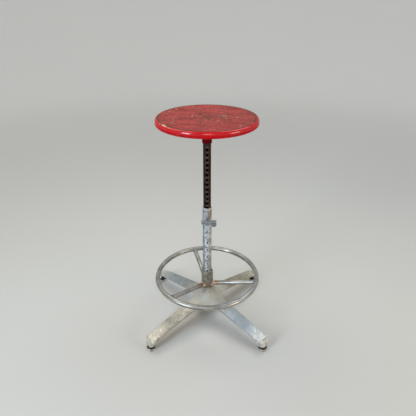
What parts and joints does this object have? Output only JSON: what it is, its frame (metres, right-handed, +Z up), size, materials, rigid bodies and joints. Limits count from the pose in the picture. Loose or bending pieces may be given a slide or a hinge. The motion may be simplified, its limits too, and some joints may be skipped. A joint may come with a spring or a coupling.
{
  "type": "artist stool",
  "caption": "Height-adjustable artist stool: round turning seat on a perforated post in a tubular column with a spring latch, sliding foot ring and a splayed four-leg base on glides.",
  "frame": {"origin": "on the column axis at floor level, where the glides stand", "axes": "+Z up along the column, -Y towards the front, the side with the latch and the post's holes"},
  "size_m": [0.4714, 0.4714, 0.8515],
  "materials": {
    "seat_enamel": "worn gloss red enamel",
    "collar_enamel": "gloss red enamel",
    "hidden_steel": "bare steel",
    "fastener_zinc": "dull zinc",
    "post_steel": "dark oiled steel with brown rust",
    "column_plate": "worn plating, mottled",
    "latch_zinc": "zinc plated",
    "ring_plate": "worn bright plating",
    "hub_steel": "dark worn steel",
    "braze": "rough braze with rust",
    "base_metal": "dull mottled plating, scuffed",
    "glide_steel": "bright plating",
    "glide_rubber": "black rubber"
  },
  "bodies": {
    "base": {"column_tube": "column_plate", "column_shoulder": "column_plate", "column_nut": "fastener_zinc", "base_tie_bar": "hidden_steel", "front_leg_pair": "base_metal", "rear_leg_pair": "base_metal", "glide_lock_nuts": "fastener_zinc", "latch_clamp": "latch_zinc", "latch_rivet": "fastener_zinc", "glide_boss_rear_right": "base_metal", "glide_boss_rear_left": "base_metal", "glide_boss_front_left": "base_metal", "glide_boss_front_right": "base_metal"},
    "post": {"height_post": "post_steel", "post_cap": "hidden_steel", "thrust_washer": "hidden_steel", "post_plug": "hidden_steel"},
    "seat": {"seat_pan": "seat_enamel", "seat_mount_plate": "hidden_steel", "seat_studs": "fastener_zinc", "seat_washers": "fastener_zinc", "seat_nuts": "fastener_zinc", "seat_collar": "collar_enamel", "swivel_screw": "collar_enamel"},
    "latch": {"latch_leaf": "latch_zinc", "latch_handle": "latch_zinc", "lock_pin": "latch_zinc"},
    "ring": {"foot_ring": "ring_plate", "ring_spoke_1": "ring_plate", "ring_spoke_2": "ring_plate", "ring_spoke_3": "ring_plate", "ring_hub": "hub_steel", "braze_beads": "braze", "hub_boss": "fastener_zinc"},
    "clamp_screw": {"hub_screw": "fastener_zinc"},
    "glide_rear_right": {"glide_disc_rear_right": "glide_steel", "glide_cushion_rear_right": "glide_rubber", "glide_stem_rear_right": "glide_steel"},
    "glide_rear_left": {"glide_disc_rear_left": "glide_steel", "glide_cushion_rear_left": "glide_rubber", "glide_stem_rear_left": "glide_steel"},
    "glide_front_left": {"glide_disc_front_left": "glide_steel", "glide_cushion_front_left": "glide_rubber", "glide_stem_front_left": "glide_steel"},
    "glide_front_right": {"glide_disc_front_right": "glide_steel", "glide_cushion_front_right": "glide_rubber", "glide_stem_front_right": "glide_steel"}
  },
  "joints": [
    {"name": "post_slide", "type": "slide", "parent": "base", "child": "post", "axis": [0, 0, 1], "range_m": [-0.24765, 0.0381]},
    {"name": "seat_swivel", "type": "hinge", "parent": "post", "child": "seat", "pos_m": [0, 0, 0.8], "axis": [0, 0, 1], "continuous": true},
    {"name": "latch_pull", "type": "hinge", "parent": "base", "child": "latch", "pos_m": [0, -0.01856, 0.4125], "axis": [1, 0, 0], "range_deg": [-6, 6], "stiffness_Nm_per_rad": 1.5, "springref_deg": -6},
    {"name": "ring_slide", "type": "slide", "parent": "base", "child": "ring", "axis": [0, 0, 1], "range_m": [0, 0.1336]},
    {"name": "clamp_screw_turn", "type": "hinge", "parent": "ring", "child": "clamp_screw", "pos_m": [0, 0, 0.1976], "axis": [-0.2874, 0.9578, 0], "continuous": true},
    {"name": "glide_turn_rear_right", "type": "hinge", "parent": "base", "child": "glide_rear_right", "pos_m": [0.21567, 0.21567, 0.006], "axis": [0, 0, 1], "continuous": true},
    {"name": "glide_turn_rear_left", "type": "hinge", "parent": "base", "child": "glide_rear_left", "pos_m": [-0.21567, 0.21567, 0.006], "axis": [0, 0, 1], "continuous": true},
    {"name": "glide_turn_front_left", "type": "hinge", "parent": "base", "child": "glide_front_left", "pos_m": [-0.21567, -0.21567, 0.006], "axis": [0, 0, 1], "continuous": true},
    {"name": "glide_turn_front_right", "type": "hinge", "parent": "base", "child": "glide_front_right", "pos_m": [0.21567, -0.21567, 0.006], "axis": [0, 0, 1], "continuous": true}
  ]
}
